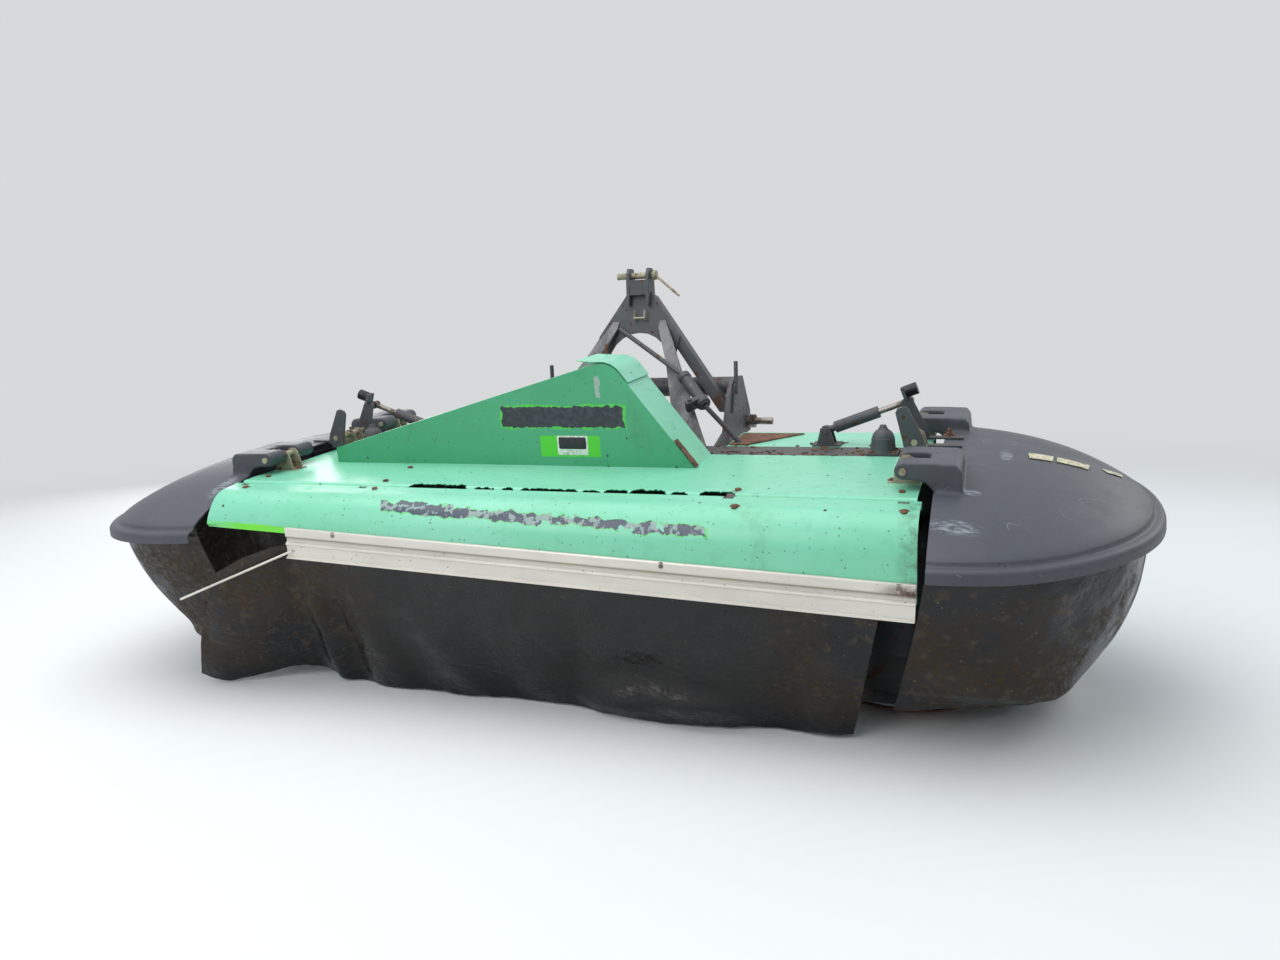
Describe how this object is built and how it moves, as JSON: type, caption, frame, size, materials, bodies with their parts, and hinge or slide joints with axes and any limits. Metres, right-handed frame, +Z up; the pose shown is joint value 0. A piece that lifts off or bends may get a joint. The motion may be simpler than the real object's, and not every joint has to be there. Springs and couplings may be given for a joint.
{
  "type": "front-mounted drum mower",
  "caption": "Wide front drum mower: green sheet-metal hood, folding plastic side covers with rubber skirts, lifting front flap, cutting drums and an A-frame headstock.",
  "frame": {"origin": "on the ground, under the middle of the machine's length and width", "axes": "+X to the machine's right as seen from in front of it, +Y towards the tractor, +Z up"},
  "size_m": [3.566, 1.6727, 1.43],
  "materials": {
    "green_paint": "faded, scuffed",
    "steel_paint": "worn, dusty",
    "rusty_steel": "rusted",
    "bare_steel": "worn bright",
    "galvanised": "dull zinc",
    "alloy": "extruded, scuffed",
    "plastic": "moulded, scratched",
    "rubber": "dirty sheet"
  },
  "bodies": {
    "deck": {"gear_beam": "steel_paint", "centre_gearbox": "steel_paint", "drive_bells": "steel_paint", "front_panel": "green_paint", "beam_cover": "steel_paint", "rear_panels": "green_paint", "deck_plate": "rusty_steel", "fairing": "green_paint", "front_brackets": "steel_paint", "rear_brackets": "steel_paint", "cover_hinge_brackets": "galvanised", "flap_hinges": "steel_paint", "cylinder_mounts": "steel_paint", "a_frame": "steel_paint", "top_link_pin": "galvanised", "inner_struts": "steel_paint", "cross_tube": "steel_paint", "side_plates": "steel_paint", "lower_link_pins": "bare_steel", "side_levers": "steel_paint", "relief_cylinder": "steel_paint"},
    "flap": {"front_flap": "green_paint", "front_rail": "alloy", "front_curtain": "rubber", "curtain_rod": "alloy"},
    "right_side_cover": {"right_cover": "plastic", "right_curtain": "rubber", "right_fold_lever": "steel_paint", "right_bumper": "rubber"},
    "right_fold_cylinder": {"right_cylinder": "steel_paint"},
    "right_fold_rod": {"right_piston_rod": "bare_steel"},
    "left_side_cover": {"left_cover": "plastic", "left_curtain": "rubber", "left_fold_lever": "steel_paint", "left_bumper": "rubber"},
    "left_fold_cylinder": {"left_cylinder": "steel_paint"},
    "left_fold_rod": {"left_piston_rod": "bare_steel"},
    "drum_1_rotor": {"drum_1": "steel_paint", "blades_1": "bare_steel"},
    "skid_1": {"skid_dish_1": "rusty_steel"},
    "drum_2_rotor": {"drum_2": "steel_paint", "blades_2": "bare_steel"},
    "skid_2": {"skid_dish_2": "rusty_steel"},
    "drum_3_rotor": {"drum_3": "steel_paint", "blades_3": "bare_steel"},
    "skid_3": {"skid_dish_3": "rusty_steel"},
    "drum_4_rotor": {"drum_4": "steel_paint", "blades_4": "bare_steel"},
    "skid_4": {"skid_dish_4": "rusty_steel"},
    "power_shaft": {"input_shaft": "bare_steel"}
  },
  "joints": [
    {"name": "flap_lift", "type": "hinge", "parent": "deck", "child": "flap", "pos_m": [0, -0.56453, 0.69486], "axis": [-1, 0, 0], "range_deg": [0, 90]},
    {"name": "right_cover_fold", "type": "hinge", "parent": "deck", "child": "right_side_cover", "pos_m": [1.09, -0.14482, 0.80535], "axis": [0, -0.9959, -0.0906], "range_deg": [0, 80]},
    {"name": "right_cylinder_tilt", "type": "hinge", "parent": "deck", "child": "right_fold_cylinder", "pos_m": [0.778, 0.14471, 0.82367], "axis": [0, 0.9959, 0.0906], "range_deg": [0, 22.67]},
    {"name": "right_rod_slide", "type": "slide", "parent": "right_fold_cylinder", "child": "right_fold_rod", "axis": [-0.9388, 0.0312, -0.3432], "range_m": [0, 0.0822]},
    {"name": "left_cover_fold", "type": "hinge", "parent": "deck", "child": "left_side_cover", "pos_m": [-1.09, -0.14482, 0.80535], "axis": [0, 0.9959, 0.0906], "range_deg": [0, 80]},
    {"name": "left_cylinder_tilt", "type": "hinge", "parent": "deck", "child": "left_fold_cylinder", "pos_m": [-0.778, 0.14471, 0.82367], "axis": [0, -0.9959, -0.0906], "range_deg": [0, 22.67]},
    {"name": "left_rod_slide", "type": "slide", "parent": "left_fold_cylinder", "child": "left_fold_rod", "axis": [0.9388, 0.0312, -0.3432], "range_m": [0, 0.0822]},
    {"name": "drum_1_spin", "type": "hinge", "parent": "deck", "child": "drum_1_rotor", "pos_m": [-1.08, -0.1305, 0.3], "axis": [0, 0, 1], "continuous": true},
    {"name": "skid_1_spin", "type": "hinge", "parent": "drum_1_rotor", "child": "skid_1", "pos_m": [-1.08, -0.1305, 0.03], "axis": [0, 0, 1], "continuous": true},
    {"name": "drum_2_spin", "type": "hinge", "parent": "deck", "child": "drum_2_rotor", "pos_m": [-0.36, -0.1305, 0.3], "axis": [0, 0, 1], "continuous": true},
    {"name": "skid_2_spin", "type": "hinge", "parent": "drum_2_rotor", "child": "skid_2", "pos_m": [-0.36, -0.1305, 0.03], "axis": [0, 0, 1], "continuous": true},
    {"name": "drum_3_spin", "type": "hinge", "parent": "deck", "child": "drum_3_rotor", "pos_m": [0.36, -0.1305, 0.3], "axis": [0, 0, 1], "continuous": true},
    {"name": "skid_3_spin", "type": "hinge", "parent": "drum_3_rotor", "child": "skid_3", "pos_m": [0.36, -0.1305, 0.03], "axis": [0, 0, 1], "continuous": true},
    {"name": "drum_4_spin", "type": "hinge", "parent": "deck", "child": "drum_4_rotor", "pos_m": [1.08, -0.1305, 0.3], "axis": [0, 0, 1], "continuous": true},
    {"name": "skid_4_spin", "type": "hinge", "parent": "drum_4_rotor", "child": "skid_4", "pos_m": [1.08, -0.1305, 0.03], "axis": [0, 0, 1], "continuous": true},
    {"name": "input_spin", "type": "hinge", "parent": "deck", "child": "power_shaft", "pos_m": [0, 0.1995, 0.85], "axis": [0, 1, 0], "continuous": true}
  ],
  "couplings": [
    {"joint": "right_cylinder_tilt", "follows": "right_cover_fold", "ratio": 0.2834},
    {"joint": "right_rod_slide", "follows": "right_cover_fold", "m_per_rad": 0.05887},
    {"joint": "left_cylinder_tilt", "follows": "left_cover_fold", "ratio": 0.2834},
    {"joint": "left_rod_slide", "follows": "left_cover_fold", "m_per_rad": 0.05887},
    {"joint": "drum_2_spin", "follows": "drum_1_spin", "ratio": -1},
    {"joint": "drum_3_spin", "follows": "drum_1_spin", "ratio": 1},
    {"joint": "drum_4_spin", "follows": "drum_1_spin", "ratio": -1},
    {"joint": "input_spin", "follows": "drum_1_spin", "ratio": 0.59}
  ]
}
